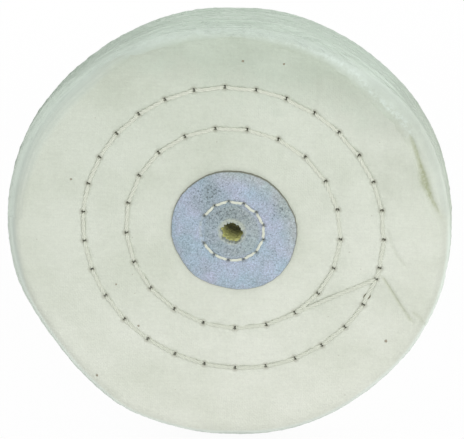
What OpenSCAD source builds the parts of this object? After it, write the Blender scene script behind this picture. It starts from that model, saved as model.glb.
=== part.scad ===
// Stitched cloth polishing wheel: a stack of round cotton plies sewn into one disc
// by two rings of lockstitch, with a stitched leather disc on each side round the
// spindle bore. The bore runs along Y and the front face looks towards -Y.
// Every piece is drawn lying down, seen from the front with X right and Y up and
// Z towards the viewer, and is then stood up by upright().

/* [Cloth stack] */
// Diameter of the wheel across its middle plies
wheel_d = 101.6; // [82:0.1:152]
// Number of cloth plies in the stack
ply_count = 50; // [10:1:54]
// Thickness of one ply as it is sewn down
ply_t = 0.25; // [0.18:0.01:0.5]
// Radius of the round shoulders at the rim of the stack
shoulder_r = 2.5; // [0.5:0.1:4]

/* [Spindle bore] */
// Diameter of the hole for the tapered spindle
bore_d = 5; // [3:0.1:10]

/* [Leather discs] */
// Diameter of the leather disc on each side
leather_d = 29; // [20:0.1:44]
// Thickness of each leather disc
leather_t = 1.5; // [0.8:0.1:3]
// Radius of the ring of stitches that holds the leather
leather_ring_r = 7.3; // [6.5:0.1:9]
// Number of stitches in the leather ring
leather_stitches = 13; // [8:1:16]
// Angle of one needle hole of the leather ring
leather_start = 13.5; // [0:0.1:27]

/* [Outer stitch ring] */
// Radius of the outer ring of stitches
outer_ring_r = 34.5; // [29:0.1:37]
// Number of full stitches in the outer ring
outer_stitches = 30; // [20:1:40]
// Angle of the needle hole where the sewing starts
outer_start = 341.8; // [330:0.1:350]
// Angle of the short last stitch that closes the outer ring
closing_angle = 4.7; // [3:0.1:8]

/* [Inner stitch ring] */
// Radius of the inner ring of stitches
inner_ring_r = 24.6; // [23.5:0.1:28]
// Number of stitches in the inner ring
inner_stitches = 21; // [14:1:28]
// Angle of the needle hole where the inner ring starts and ends
inner_start = 305.2; // [290:0.1:320]

/* [Thread] */
// Diameter of the thread where it passes through the cloth
thread_d = 0.8; // [0.4:0.05:1]
// Diameter of the thread where it is pulled tight along a stitch
stitch_d = 0.7; // [0.3:0.05:0.7]
// Clearance round the thread in a needle hole, and under a stitch
thread_gap = 0.05; // [0.02:0.01:0.1]

/* [Hidden] */
stack_t = ply_count * ply_t;
leather_face = stack_t / 2 + leather_t;
hole_r = thread_d / 2 + thread_gap;
// How far a stitch stops short of its needle hole's centre, inside the thread's leg
stitch_inset = thread_d * 0.19;
// How far each cut runs past the face that it opens
cut_past = 1;

cloth_rgb = [0.85, 0.87, 0.80];
leather_rgb = [0.66, 0.70, 0.76];
thread_rgb = [0.93, 0.92, 0.84];

function spot(r, a) = [r * cos(a), r * sin(a)];

// Needle holes, in the order in which they are sewn
outer_pitch = (360 - closing_angle) / outer_stitches;
outer_route = [for (i = [0 : outer_stitches]) spot(outer_ring_r, outer_start - i * outer_pitch)];
inner_route = [for (i = [0 : inner_stitches - 1])
    spot(inner_ring_r, inner_start - i * 360 / inner_stitches)];
leather_route = [for (i = [0 : leather_stitches - 1])
    spot(leather_ring_r, leather_start + i * 360 / leather_stitches)];

// The rim rounds off over the outermost plies on both sides
function ply_z(i) = stack_t / 2 - (i - 0.5) * ply_t;
function into_shoulder(i) = max(0, abs(ply_z(i)) - (stack_t / 2 - shoulder_r));
function ply_r(i) = wheel_d / 2 - shoulder_r + sqrt(pow(shoulder_r, 2) - pow(into_shoulder(i), 2));
function ply_name(i) = str("ply_", i < 10 ? "0" : "", i);

module upright() {
    rotate([90, 0, 0]) children();
}

// A flat disc whose lower face is at height z, with the spindle bore and needle holes
module pierced_disc(r, t, z, routes) {
    difference() {
        translate([0, 0, z]) cylinder(r = r, h = t, $fn = 180);
        translate([0, 0, z - cut_past]) cylinder(d = bore_d, h = t + 2 * cut_past, $fn = 72);
        for (route = routes, p = route) {
            translate([p[0], p[1], z - cut_past])
                cylinder(r = hole_r, h = t + 2 * cut_past, $fn = 24);
        }
    }
}

// The thread's leg in one needle hole, from the middle of the stack to above face z
module leg(p, z) {
    translate([p[0], p[1], 0]) cylinder(d = thread_d, h = z + thread_d, $fn = 48);
}

// The stitch on face z from hole a to hole b
module stitch(a, b, z) {
    run = norm(b - a) - 2 * stitch_inset;
    turn = atan2(b[1] - a[1], b[0] - a[0]);
    translate([a[0], a[1], z + thread_gap + stitch_d / 2])
        rotate([0, 90, turn])
            translate([0, 0, stitch_inset])
                cylinder(d = stitch_d, h = run, $fn = 48);
}

// One closed ring of stitches on face z
module stitch_ring(route, z) {
    last = len(route) - 1;
    for (i = [0 : last]) {
        leg(route[i], z);
        stitch(route[i], route[i == last ? 0 : i + 1], z);
    }
}

module ply(i) {
    color(cloth_rgb) upright()
        pierced_disc(ply_r(i), ply_t, ply_z(i) - ply_t / 2, [outer_route, inner_route, leather_route]);
}

module leather_disc_front() {
    color(leather_rgb) upright()
        pierced_disc(leather_d / 2, leather_t, stack_t / 2, [leather_route]);
}

module leather_disc_back() {
    color(leather_rgb) upright()
        pierced_disc(leather_d / 2, leather_t, -leather_face, [leather_route]);
}

// The needle thread sews the outer ring, crosses to the inner ring and sews that
module ring_thread_front() {
    color(thread_rgb) upright() union() {
        stitch_ring(outer_route, stack_t / 2);
        stitch_ring(inner_route, stack_t / 2);
        stitch(outer_route[0], inner_route[0], stack_t / 2);
    }
}

// The under thread follows the same holes on the back and meets it at the middle
module ring_thread_back() {
    color(thread_rgb) mirror([0, 1, 0]) upright() union() {
        stitch_ring(outer_route, stack_t / 2);
        stitch_ring(inner_route, stack_t / 2);
        stitch(outer_route[0], inner_route[0], stack_t / 2);
    }
}

module leather_thread_front() {
    color(thread_rgb) upright() stitch_ring(leather_route, leather_face);
}

module leather_thread_back() {
    color(thread_rgb) mirror([0, 1, 0]) upright() stitch_ring(leather_route, leather_face);
}

for (i = [1 : ply_count]) {
    ply(i);
}
leather_disc_front();
leather_disc_back();
ring_thread_front();
ring_thread_back();
leather_thread_front();
leather_thread_back();
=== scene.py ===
import math

import bpy
import numpy as np
from bpy.props import FloatProperty, FloatVectorProperty, IntProperty, PointerProperty
from bpy.types import Operator, Panel, PropertyGroup
from mathutils import Matrix, Vector
from mathutils.geometry import delaunay_2d_cdt


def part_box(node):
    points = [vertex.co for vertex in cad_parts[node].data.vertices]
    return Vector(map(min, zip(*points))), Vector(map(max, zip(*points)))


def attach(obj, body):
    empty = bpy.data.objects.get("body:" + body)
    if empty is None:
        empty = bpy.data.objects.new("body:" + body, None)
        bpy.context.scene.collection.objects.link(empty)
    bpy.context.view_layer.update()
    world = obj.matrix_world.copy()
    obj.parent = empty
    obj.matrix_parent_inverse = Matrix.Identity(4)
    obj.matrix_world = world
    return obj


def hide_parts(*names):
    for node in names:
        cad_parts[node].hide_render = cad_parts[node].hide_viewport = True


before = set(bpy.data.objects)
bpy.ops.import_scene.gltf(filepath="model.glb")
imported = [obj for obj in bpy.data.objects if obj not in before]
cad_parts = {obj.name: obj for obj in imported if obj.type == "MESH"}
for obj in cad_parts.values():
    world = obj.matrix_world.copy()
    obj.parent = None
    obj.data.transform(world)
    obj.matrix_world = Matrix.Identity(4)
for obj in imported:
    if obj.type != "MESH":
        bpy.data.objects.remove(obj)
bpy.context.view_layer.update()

bl_info = {
    "name": "Stitched Cloth Polishing Wheel",
    "version": (1, 0, 0),
    "blender": (4, 5, 0),
    "location": "3D View > Sidebar > Polishing Wheel",
    "description": "A four inch wheel of fifty calico plies, lockstitched round a leather hub",
    "category": "Add Mesh",
}

# The wheel stands upright: its bore runs along Y, its front faces -Y, and +Z is up.
# Lengths in the panels are metres. The mesh code below works in millimetres and turns
# them into metres when a mesh is made.
MM = 0.001
FRONT, BACK = -1, 1
SIDES = ((FRONT, "front"), (BACK, "back"))
PLY_NODES = sorted(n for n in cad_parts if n.startswith("ply_"))


def node_size(node, axis):
    """The size of a CAD node along an axis, in metres."""
    low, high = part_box(node)
    return high[axis] - low[axis]


def srgb(*values):
    """A colour written as 0 to 255 display values, as the linear values Blender works in."""
    return tuple(
        v / 255 / 12.92 if v / 255 <= 0.04045 else ((v / 255 + 0.055) / 1.055) ** 2.4
        for v in values
    )


# ------------------------------------------------------------------ sizes and colours

def length(name, text, value):
    return FloatProperty(name=name, description=text, default=value, unit="LENGTH", precision=5)


def angle(name, text, degrees):
    return FloatProperty(name=name, description=text, default=math.radians(degrees),
                         subtype="ANGLE")


def colour(name, text, *values):
    return FloatVectorProperty(name=name, description=text, default=srgb(*values),
                               subtype="COLOR", min=0.0, max=1.0)


def share(name, text, value, high=1.0):
    return FloatProperty(name=name, description=text, default=value, min=0.0, max=high,
                         subtype="FACTOR")


def count(name, text, value, low=1):
    return IntProperty(name=name, description=text, default=value, min=low)


class ClothSizes(PropertyGroup):
    diameter: length("Wheel diameter", "Across the stack of plies",
                     round(node_size(PLY_NODES[len(PLY_NODES) // 2], 0), 5))
    plies: count("Plies", "Discs of cloth in the stack", len(PLY_NODES), 10)
    pitch: length("Ply pitch", "From the middle of one ply to the middle of the next",
                  round(node_size(PLY_NODES[0], 1), 5))
    cloth: length("Cloth thickness", "Thickness of the bare cloth", 0.00016)
    edge: length("Edge thickness", "Thickness of a ply where its edge is brushed open", 0.00022)
    bore: length("Bore", "Width of the hole for the tapered spindle", 0.005)
    shoulder: length("Shoulder", "Rounding of the two corners of the rim", 0.0025)
    squeeze: share("Rim squeeze", "How much thinner the stack is at its rim", 0.07)
    pinch: share("Rim pinch", "How much thinner still it is at its sides", 0.2)
    fray: length("Fray", "How far the cut edges wander in and out", 0.00006)


class SeamSizes(PropertyGroup):
    outer: length("Outer seam radius", "Radius of the outer ring of stitches", 0.0345)
    outer_stitches: count("Outer stitches", "Stitches in the outer ring", 30, 6)
    outer_start: angle("Outer start", "Where the outer ring begins, from +X towards +Z", 341.8)
    closing: angle("Closing stitch", "Angle of the short stitch that closes the outer ring", 4.7)
    inner: length("Inner seam radius", "Radius of the inner ring of stitches", 0.0246)
    inner_stitches: count("Inner stitches", "Stitches in the inner ring", 21, 6)
    inner_start: angle("Inner start", "Where the crossing stitch meets the inner ring", 305.2)
    hole_across: length("Hole across", "Width of a needle hole across the seam", 0.00092)
    hole_along: length("Hole along", "Width of a needle hole along the seam", 0.00092)
    groove: length("Groove", "How deep a stitch pulls the cloth in", 0.00014)
    dimple: length("Dimple", "How deep the cloth is drawn in round a needle hole", 0.00025)


class ThreadSizes(PropertyGroup):
    width: length("Thread", "Width of the sewing thread, pressed flat", 0.00098)
    flat: share("Flatness", "Thickness of the pressed thread as a share of its width", 0.45)
    twist: length("Twist", "Length of one turn of the thread's three strands", 0.0046)
    step: length("Step", "Distance between two sections of the thread", 0.00024)
    strands: IntProperty(name="Strands", description="Strands twisted into the thread",
                         default=3, min=2, max=4)


class LeatherSizes(PropertyGroup):
    diameter: length("Leather disc", "Diameter of the two leather discs", 0.029)
    thickness: length("Leather thickness", "Thickness inside the pressed edge",
                      round(node_size("leather_disc_front", 1), 5))
    edge: length("Edge thickness", "Thickness of the cut edge", 0.0007)
    seam: length("Seam radius", "Radius of the ring of stitches round the bore", 0.0073)
    stitches: count("Stitches", "Stitches round the bore", 13, 6)
    start: angle("Start", "Where the first stitch of the ring begins", 13.5)
    lip: length("Lip", "Height of the leather that is pushed up round the bore", 0.00018)


class NapSizes(PropertyGroup):
    fibres: count("Fibres", "Fibres to a square centimetre of rim", 150)
    fibre: length("Fibre", "Length of a loose fibre", 0.0017)
    thickness: length("Fibre thickness", "Radius of a loose fibre", 0.00002)
    lift: length("Lift", "How far the middle of a fibre stands off the rim", 0.00007)
    seed: IntProperty(name="Seed", description="Seed of the scatter", default=7)


class Finishes(PropertyGroup):
    cloth: colour("Cloth", "Unbleached calico", 217, 220, 209)
    cloth_shade: colour("Cloth shade", "Darker clouds in the calico", 208, 212, 199)
    rim: colour("Rim", "Cut and brushed edges of the plies", 222, 230, 221)
    lint: colour("Lint", "Loose fibres along the edges of the faces", 226, 234, 228)
    # Needle oil, and painted shade round and down the needle holes and at the two spare holes.
    oil_and_shade: colour("Soil", "Needle oil at the stitches", 102, 94, 68)
    # Painted shade down in a crease.
    crease_shade: colour("Fold", "Cloth down in a crease", 166, 172, 142)
    seed: colour("Seed fleck", "Bits of cotton seed in the calico", 122, 106, 82)
    bore: colour("Bore", "Oil stain on the plies round the bore", 222, 223, 142)
    thread: colour("Thread", "Sewing thread", 217, 221, 206)
    suede: colour("Suede", "Leather discs", 167, 187, 201)
    suede_lilac: colour("Suede lilac", "Lilac clouds in the leather", 180, 187, 206)
    suede_grey: colour("Suede grey", "Rubbed grey patches in the leather", 150, 165, 170)
    # The cut edge's own darker colour, also painted as shade along the edge and round the stitch
    # holes.
    suede_edge: colour("Suede edge", "Cut edge of the leather", 124, 126, 112)
    pressed: colour("Pressed leather", "Pale leather round the bore", 190, 197, 182)


class StageSettings(PropertyGroup):
    azimuth: angle("Azimuth", "Camera's turn round the wheel", 6.98)
    elevation: angle("Elevation", "Camera's height above the horizon", 22.35)
    distance: length("Distance", "From the camera to the middle of the wheel", 1.5)
    lens: FloatProperty(name="Lens", description="Focal length in millimetres", default=509.8)
    shift_x: FloatProperty(name="Shift X", description="Camera shift", default=-0.00905)
    shift_y: FloatProperty(name="Shift Y", description="Camera shift", default=-0.0019)
    floor: length("Floor", "Width of the floor", 3.0)
    sky: share("Sky", "Strength of the soft light from overhead", 0.88, 2.0)
    horizon: share("Horizon", "Strength of the soft light from the sides", 0.4, 2.0)
    front_light: FloatProperty(name="Front light", description="Softbox power", default=2.0,
                               unit="POWER")
    back_light: FloatProperty(name="Back light", description="Softbox power", default=2.0,
                              unit="POWER")


# ------------------------------------------------------------------ shapes in the plane

def polar(radius, degrees):
    a = np.radians(degrees)
    return np.stack([radius * np.cos(a), radius * np.sin(a)], axis=-1)


def circle(radius, sides, stagger=0.0):
    """Points round a circle. stagger turns them, as a share of the angle between two."""
    return polar(radius, (np.arange(sides) + stagger) * 360 / sides)


def rings(low, high, spacing):
    """Circles of points from one radius to another, with one spacing between them all."""
    found = []
    for k, radius in enumerate(np.arange(low, high, spacing)):
        sides = max(8, int(round(2 * np.pi * radius / spacing)))
        found.append(circle(radius, sides, 0.5 * (k % 2)))
    return np.concatenate(found)


def reach(points):
    """Distance from the bore's axis."""
    return np.hypot(*points.T)


def direction(points):
    """Direction from the bore's axis, in degrees from +X towards +Z."""
    return np.degrees(np.arctan2(points[:, 1], points[:, 0]))


def smooth_step(x, low, high):
    t = np.clip((x - low) / (high - low), 0, 1)
    return t * t * (3 - 2 * t)


def window(x, rise, fall):
    """Goes up from 0 to 1 over the span rise, and back down over the span fall."""
    return smooth_step(x, *rise) * (1 - smooth_step(x, *fall))


def bell(x, width):
    return np.exp(-((x / width) ** 2))


def ripple(points, size, seed, waves=20):
    """Smooth random bumps about size wide, between about -1 and 1."""
    rng = np.random.default_rng(seed)
    turn = rng.uniform(0, 2 * np.pi, waves)
    pace = 2 * np.pi / (size * rng.uniform(0.8, 1.7, waves))
    phase = rng.uniform(0, 2 * np.pi, waves)
    way = np.stack([np.cos(turn), np.sin(turn)]) * pace
    return np.cos(points @ way + phase).sum(1) / math.sqrt(waves / 2) * 0.6


def to_nearest(points, others):
    """Distance from each point to the nearest of the others."""
    return np.min([reach(points - other) for other in others], axis=0)


def to_segments(points, segments):
    """Distance from each point to the nearest segment."""
    nearest = np.full(len(points), np.inf)
    for a, b in segments:
        d = b - a
        t = np.clip((points - a) @ d / (d @ d), 0, 1)
        nearest = np.minimum(nearest, reach(points - a - t[:, None] * d))
    return nearest


def to_line(points, line):
    """Distance from each point to a broken line."""
    return to_segments(points, zip(line[:-1], line[1:]))


class Seams:
    """Where the needle went through the stack, and which holes each stitch joins."""

    def __init__(self, seam, leather):
        outer, inner, hub = seam.outer / MM, seam.inner / MM, leather.seam / MM
        step = (360 - math.degrees(seam.closing)) / seam.outer_stitches
        turns = np.arange(seam.outer_stitches + 1)
        self.outer = polar(outer, math.degrees(seam.outer_start) - turns * step)
        step = 360 / seam.inner_stitches
        self.inner = polar(inner, math.degrees(seam.inner_start)
                           - np.arange(seam.inner_stitches) * step)
        self.hub = polar(hub, math.degrees(leather.start)
                         + np.arange(leather.stitches) * 360 / leather.stitches)
        self.ring_stitches = [
            *zip(self.outer, np.roll(self.outer, -1, 0)),
            *zip(self.inner, np.roll(self.inner, -1, 0)),
            (self.outer[0], self.inner[0]),
        ]
        self.hub_stitches = list(zip(self.hub, np.roll(self.hub, -1, 0)))

    def holes(self):
        return np.concatenate([self.outer, self.inner, self.hub])


# Creases in the front ply, as (x, z) points in millimetres: the crease in the right margin
# where the cloth has been pushed over the shoulder, the slack place beside the outer seam, a
# soft crease at the top, and a straight and a short crease at the lower right.
MARGIN_CREASE = ((40.3, 24.5), (41.4, 21.5), (42.8, 17.0), (43.7, 13.7), (44.8, 10.6),
                 (46.5, 7.0), (47.6, 4.8))
SEAM_CREASE = ((35.3, 1.4), (36.1, -2.1), (37.8, -5.2), (39.3, -7.1))
TOP_FOLD = ((19.6, 43.0), (19.3, 37.2), (18.7, 30.0))
STRAIGHT_CREASE = ((34.4, -10.3), (36.0, -12.8), (38.3, -16.6), (41.1, -20.9))
SHORT_CREASE = ((41.4, -18.6), (42.9, -19.7), (43.9, -22.0))
# Larger seed flecks in the front ply, as (x, z, radius) in millimetres.
FRONT_FLECKS = ((2.3, 41.0, 0.3), (11.6, 40.7, 0.26), (-37.1, 10.4, 0.28), (-45.1, -4.7, 0.26),
                (-26.9, -15.0, 0.26), (-31.5, -37.9, 0.34), (35.2, -25.9, 0.36))
# Soft grey patches of painted shade in it, as (x, z, radius, strength), with x, z and radius
# in millimetres.
FRONT_SHADE_PATCHES = ((-22.9, 41.8, 7, 0.05), (-14.0, 40.5, 7, 0.05), (3.5, 40.5, 7, 0.04),
                (12.8, 41.2, 7, 0.04), (23.5, 35.5, 9, 0.04), (33.5, 26.5, 12, 0.08),
                (39.5, 12.0, 10, 0.05), (28.5, 2.0, 12, 0.035), (41.5, -8.0, 12, 0.02),
                (45.5, 20.5, 8, 0.07), (38.5, 29.0, 8, 0.05), (36.0, -22.0, 13, 0.025),
                (-31.0, 37.0, 9, 0.05))
FRONT_LEVEL = -6.2  # y of the front ply, in mm
# Two needle holes beside the seam where the sewing was begun again, and how they lean. No hole
# is cut there: each is a dark mark of painted shade.
SPARE_HOLES = ((30.2, -15.0), (31.3, -15.3))
SPARE_HOLE_LEAN = math.radians(60)
# The outline isn't a true circle: lobes of it as (lobes, height in mm, direction in degrees).
OUTLINE_LOBES = ((1, 1.54, 212), (2, 0.55, 54), (3, 0.41, 48), (4, 0.25, -13), (5, 0.14, 38))
# Small flats and corners in it, as (direction in degrees, width in degrees, height in mm).
OUTLINE_BUMPS = ((22, 13, 0.25), (135, 9, -0.35), (168, 11, -0.4), (198, 6, 0.2), (216, 8, -0.3),
                 (241, 8, 0.7), (270, 7, -0.3), (33, 13, 0.22), (90, 6, -0.28), (105, 6, 0.2),
                 (120, 6, -0.15), (150, 8, -0.18), (182, 8, -0.15), (293, 12, 0.25),
                 (330, 7, -0.28))
# Where the edge of the front ply lies at the top, as (direction in degrees, radius in mm).
FRONT_EDGE = ((6, 48.2), (10, 47.3), (17, 46.75), (23, 46.9), (30, 47.1), (37, 47.3),
              (44, 46.5), (50, 46.8), (56, 47.6), (66, 47.5), (74, 46.8), (82, 47.3),
              (90, 48.0), (98, 47.2), (105, 47.1), (118, 48.2))
RIM_FALL = 2.2  # how far in from the edge the stack begins to thin, in mm
TEMPLATE_RADIUS = 50.0  # radius of the flat pattern before a ply gets its own outline
PLAIN_RADIUS = 40.0  # inside this radius every ply keeps the pattern as it is
FINE_PLIES = 3  # plies on each side that show, and are made from the fine pattern
YARN_PITCH = 0.42  # from one yarn of the calico to the next, in mm
HUB_MIDDLE = np.array([0.0, -0.45])  # the leather is torn round a bore a little to one side
BORE_UNDERSIZE = 0.05  # how much smaller the leather's bore is cut than it is torn, in mm
# Where the front leather's nap has closed over stitches: the direction, how far to each side
# a hole or a whole stitch is closed over, in degrees, and how deep the thread lies, in mm.
CLOSED_WAY, CLOSED_HOLES, CLOSED_STITCHES, CLOSED_DEPTH = 179, 16, 29, 0.7


def outline(degrees, diameter):
    """Radius of the wheel's outline in a direction, in millimetres."""
    r = np.full(np.shape(degrees), diameter / 2)
    for lobes, height, way in OUTLINE_LOBES:
        r = r + height * np.cos(lobes * np.radians(degrees - way))
    for way, width, height in OUTLINE_BUMPS:
        r = r + height * bell((degrees - way + 180) % 360 - 180, width)
    return r


def half_stack(cloth):
    """Half the thickness of the sewn stack, in millimetres."""
    return cloth.plies * cloth.pitch / MM / 2


def rim_share(degrees, cloth):
    """Thickness of the stack at its rim as a share of its thickness at the hub."""
    return 1 - cloth.squeeze - cloth.pinch * np.cos(np.radians(degrees)) ** 2


def along_line(line, spacing):
    """Points at an even spacing on a broken line, with the direction across it."""
    line = np.array(line, float)
    found, across = [], []
    for a, b in zip(line[:-1], line[1:]):
        size = np.hypot(*(b - a))
        n = max(2, int(round(size / spacing)))
        t = (np.arange(n) + 0.5) / n
        found.append(a + t[:, None] * (b - a))
        across.append(np.tile([-(b - a)[1] / size, (b - a)[0] / size], (n, 1)))
    return np.concatenate(found), np.concatenate(across)


def oval_loops(holes, across, along, sides=10):
    """The edge of each needle hole, of one width across its seam and another along it."""
    turn = np.linspace(0, 2 * np.pi, sides, endpoint=False)
    loops = []
    for hole in holes:
        out = hole / np.hypot(*hole)
        round_way = np.array([-out[1], out[0]])
        loops.append(hole + np.outer(np.cos(turn), out) * across / 2
                     + np.outer(np.sin(turn), round_way) * along / 2)
    return loops


def triangulate(points, loops):
    """A flat mesh of the points with each loop of them left open. Returns triangles that
    run counter-clockwise, and the directed edges round the outline and the openings."""
    owner = np.full(len(points), -1)
    edges = []
    for k, loop in enumerate(loops):
        owner[loop] = k
        edges += [(int(a), int(b)) for a, b in zip(loop, np.roll(loop, -1))]
    result = delaunay_2d_cdt([Vector(p) for p in points], edges, [], 0, 1e-7)
    source = np.array([ids[0] for ids in result[3]])
    triangles = source[np.array(result[2])]
    first = owner[triangles[:, 0]]
    inside = (first >= 0) & (owner[triangles] == first[:, None]).all(1)
    triangles = triangles[~inside]
    a, b, c = (points[triangles[:, k]] for k in range(3))
    turned = (b - a)[:, 0] * (c - a)[:, 1] - (b - a)[:, 1] * (c - a)[:, 0]
    triangles = triangles[np.abs(turned) > 1e-9]
    turned = turned[np.abs(turned) > 1e-9]
    triangles[turned < 0] = triangles[turned < 0][:, ::-1]
    sides = np.concatenate([triangles[:, [0, 1]], triangles[:, [1, 2]], triangles[:, [2, 0]]])
    n = len(points)
    key, back = sides[:, 0] * n + sides[:, 1], sides[:, 1] * n + sides[:, 0]
    return triangles, sides[~np.isin(key, back)]


class Template:
    """A flat pattern made part by part: its points, triangles and open edges."""

    def __init__(self):
        self.parts, self.loops, self.count = [], [], 0

    def put(self, points, opening=False):
        """Adds points, or the edge of an opening, and returns their numbers."""
        numbers = np.arange(self.count, self.count + len(points))
        self.parts.append(points)
        self.count += len(points)
        if opening:
            self.loops.append(numbers)
        return numbers

    def finish(self):
        self.points = np.concatenate(self.parts)
        self.triangles, self.open_edges = triangulate(self.points, self.loops)


class PlyPattern(Template):
    """The pattern for a ply: a fine one for the plies that show, a plain one for the rest."""

    def __init__(self, seams, cloth, seam, fine):
        super().__init__()
        spacing, rim_points = (1.15, 720) if fine else (3.2, 540)
        bore, holes = cloth.bore / MM / 2, seams.holes()
        for loop in oval_loops(holes, seam.hole_across / MM, seam.hole_along / MM):
            self.put(loop, opening=True)
        self.bore = self.put(circle(bore, 40), opening=True)
        self.rim = self.put(circle(TEMPLATE_RADIUS, rim_points))
        depths = (0.25, 0.55, 0.95, 1.5, 2.2, 3.0) if fine else (0.6, 2.0)
        for k, depth in enumerate(depths):
            self.put(circle(TEMPLATE_RADIUS - depth, rim_points // (1 + k // 2), 0.5))
        rows = []
        if fine:
            for stitch in seams.ring_stitches:
                middle, across = along_line(stitch, 0.55)
                rows.append(middle)
                for offset in (0.24, 0.48, 0.8, 1.2):
                    rows += [middle + across * offset, middle - across * offset]
        creases = [along_line(c, 0.6) for c in (MARGIN_CREASE, STRAIGHT_CREASE, SHORT_CREASE,
                                                SEAM_CREASE, TOP_FOLD)]
        for middle, across in creases:
            for offset in (-1.6, -0.9, -0.4, 0, 0.4, 0.9, 1.6) if fine else (-1.2, 0, 1.2):
                rows.append(middle + across * offset)
        rows = np.concatenate(rows)
        rows = rows[reach(rows) < TEMPLATE_RADIUS - 0.9]
        self.put(self.thinned(rows[to_nearest(rows, holes) > 0.85], 0.2))
        field = rings(bore + spacing, TEMPLATE_RADIUS - depths[-1] - spacing / 2, spacing)
        ok = to_nearest(field, holes) > 0.5 * spacing + 0.5
        ok &= to_nearest(field, np.concatenate([m for m, _ in creases])) > (2.0 if fine else 1.9)
        if fine:
            ok &= to_segments(field, seams.ring_stitches) > 1.6
        self.put(field[ok])
        self.finish()

    @staticmethod
    def thinned(points, gap):
        """The points without those that share a cell of a fine grid with an earlier one."""
        cells = np.round(points / gap).astype(np.int64)
        _, first = np.unique(cells[:, 0] * 100003 + cells[:, 1], return_index=True)
        return points[np.sort(first)]


# ------------------------------------------------------------------ meshes

def make_mesh(name, points, triangles, marks=None, sharp=None):
    """A mesh in metres from points in millimetres. marks are values kept on its points."""
    mesh = bpy.data.meshes.new(name)
    mesh.vertices.add(len(points))
    mesh.vertices.foreach_set("co", (np.asarray(points) * MM).astype(np.float32).ravel())
    mesh.loops.add(triangles.size)
    mesh.loops.foreach_set("vertex_index", triangles.astype(np.int32).ravel())
    mesh.polygons.add(len(triangles))
    mesh.polygons.foreach_set("loop_start", np.arange(0, triangles.size, 3, dtype=np.int32))
    mesh.update(calc_edges=True)
    mesh.shade_smooth()
    if sharp:
        mesh.set_sharp_from_angle(angle=math.radians(sharp))
    for mark, values in (marks or {}).items():
        attribute = mesh.attributes.new(mark, "FLOAT", "POINT")
        attribute.data.foreach_set("value", np.asarray(values, np.float32))
    return mesh


def add_piece(mesh, material, slot, *nodes):
    """Shows a mesh as a piece of the wheel, in place of the CAD nodes named."""
    piece = bpy.data.objects.new(mesh.name, mesh)
    bpy.context.scene.collection.objects.link(piece)
    mesh.materials.clear()
    mesh.materials.append(material)
    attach(piece, "root")
    if nodes:
        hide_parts(*nodes)
    return piece


def slab(pattern, flat, front, back):
    """The two skins of a sheet and the walls between them, as points and triangles."""
    n = len(flat)
    points = np.concatenate([
        np.stack([flat[:, 0], front, flat[:, 1]], axis=1),
        np.stack([flat[:, 0], back, flat[:, 1]], axis=1),
    ])
    a, b = pattern.open_edges.T
    triangles = np.concatenate([
        pattern.triangles,
        pattern.triangles[:, ::-1] + n,
        np.stack([b, a, a + n], axis=1),
        np.stack([b, a + n, b + n], axis=1),
    ])
    return points, triangles


class Relief:
    """How far the outer cloth is drawn in at points of the wheel's face."""

    def __init__(self, p, seams, seam, side):
        stitch = to_segments(p, seams.ring_stitches)
        self.hole = to_nearest(p, seams.holes())
        self.radius = r = reach(p)
        free = smooth_step(r, 14.0, 19.0)
        groove = seam.groove / MM * bell(stitch, 0.5)
        pucker = 0.12 * bell(stitch, 2.4) * ripple(p, 2.6, 5 + side)
        self.near = groove + seam.dimple / MM * bell(self.hole, 0.9) + pucker * free
        # The cloth swells a little between the seams and towards the rim.
        outer, inner = seam.outer / MM, seam.inner / MM
        swell = bell(r - (outer + inner) / 2, 3.0) + 1.2 * bell(r - outer - 8.5, 5.0)
        broad = 0.09 * swell * (1 + 0.5 * ripple(p, 16, 11 + side))
        self.broad = -(broad + 0.07 * ripple(p, 21, 23 + side)) * free
        self.crease = np.zeros(len(p))
        # Painted shade down in the creases, kept as a mark for the shader.
        self.crease_shade = np.zeros(len(p))
        if side == FRONT:
            self.add_creases(p)

    def add_creases(self, p):
        gap = to_line(p, np.array(MARGIN_CREASE))
        turn = direction(p)
        in_span = window(turn, (5, 9), (30, 33))
        beyond = self.radius - 46.9
        widest = bell(turn - 17.5, 4.5)
        width = 0.36 + 0.5 * widest
        strength = 0.85 + 0.4 * widest - 0.3 * (1 - smooth_step(turn, 7, 13))
        # Painted shade along the margin crease.
        self.crease_shade = bell(gap, width) * in_span * (strength + 0.25 * ripple(p, 1.8, 33))
        bulge = bell(beyond - 1.2, 1.2) * smooth_step(beyond, 0.1, 0.7) * in_span
        self.crease = 0.5 * bell(gap, 0.6) * in_span - 0.22 * bulge
        for crease, depth, dark in ((STRAIGHT_CREASE, 0.3, 0.55), (SHORT_CREASE, 0.18, 0.3),
                                    (SEAM_CREASE, 0.2, 0.14), (TOP_FOLD, 0.09, 0.04)):
            line = np.array(crease)
            gap, (run_x, run_z) = to_line(p, line), line[-1] - line[0]
            side_of = (p - line[0]) @ np.array([-run_z, run_x])
            ridge = bell(gap - 0.9, 0.7) * (side_of > 0)
            self.crease += depth * bell(gap, 0.35) - 0.5 * depth * ridge
            # Painted shade down each of the other creases.
            self.crease_shade = np.maximum(self.crease_shade, dark * bell(gap, 0.3))


def shoulder_inset(depth, shoulder):
    """How far a ply's edge stays back from the outline at a depth below the wheel's face."""
    into = max(0.0, shoulder - depth)
    return shoulder - math.sqrt(shoulder ** 2 - into ** 2)


def frayed(rng, count, size):
    """A ragged edge: a value for each rim point, rougher over short runs than long ones."""
    short = rng.normal(0, 1, count)
    short = (short + np.roll(short, 1)) / 1.6
    broad = np.convolve(np.tile(rng.normal(0, 1, count), 3), np.ones(14) / 3.7, "same")
    return size * (0.8 * short + 0.9 * broad[count:2 * count])


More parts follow.
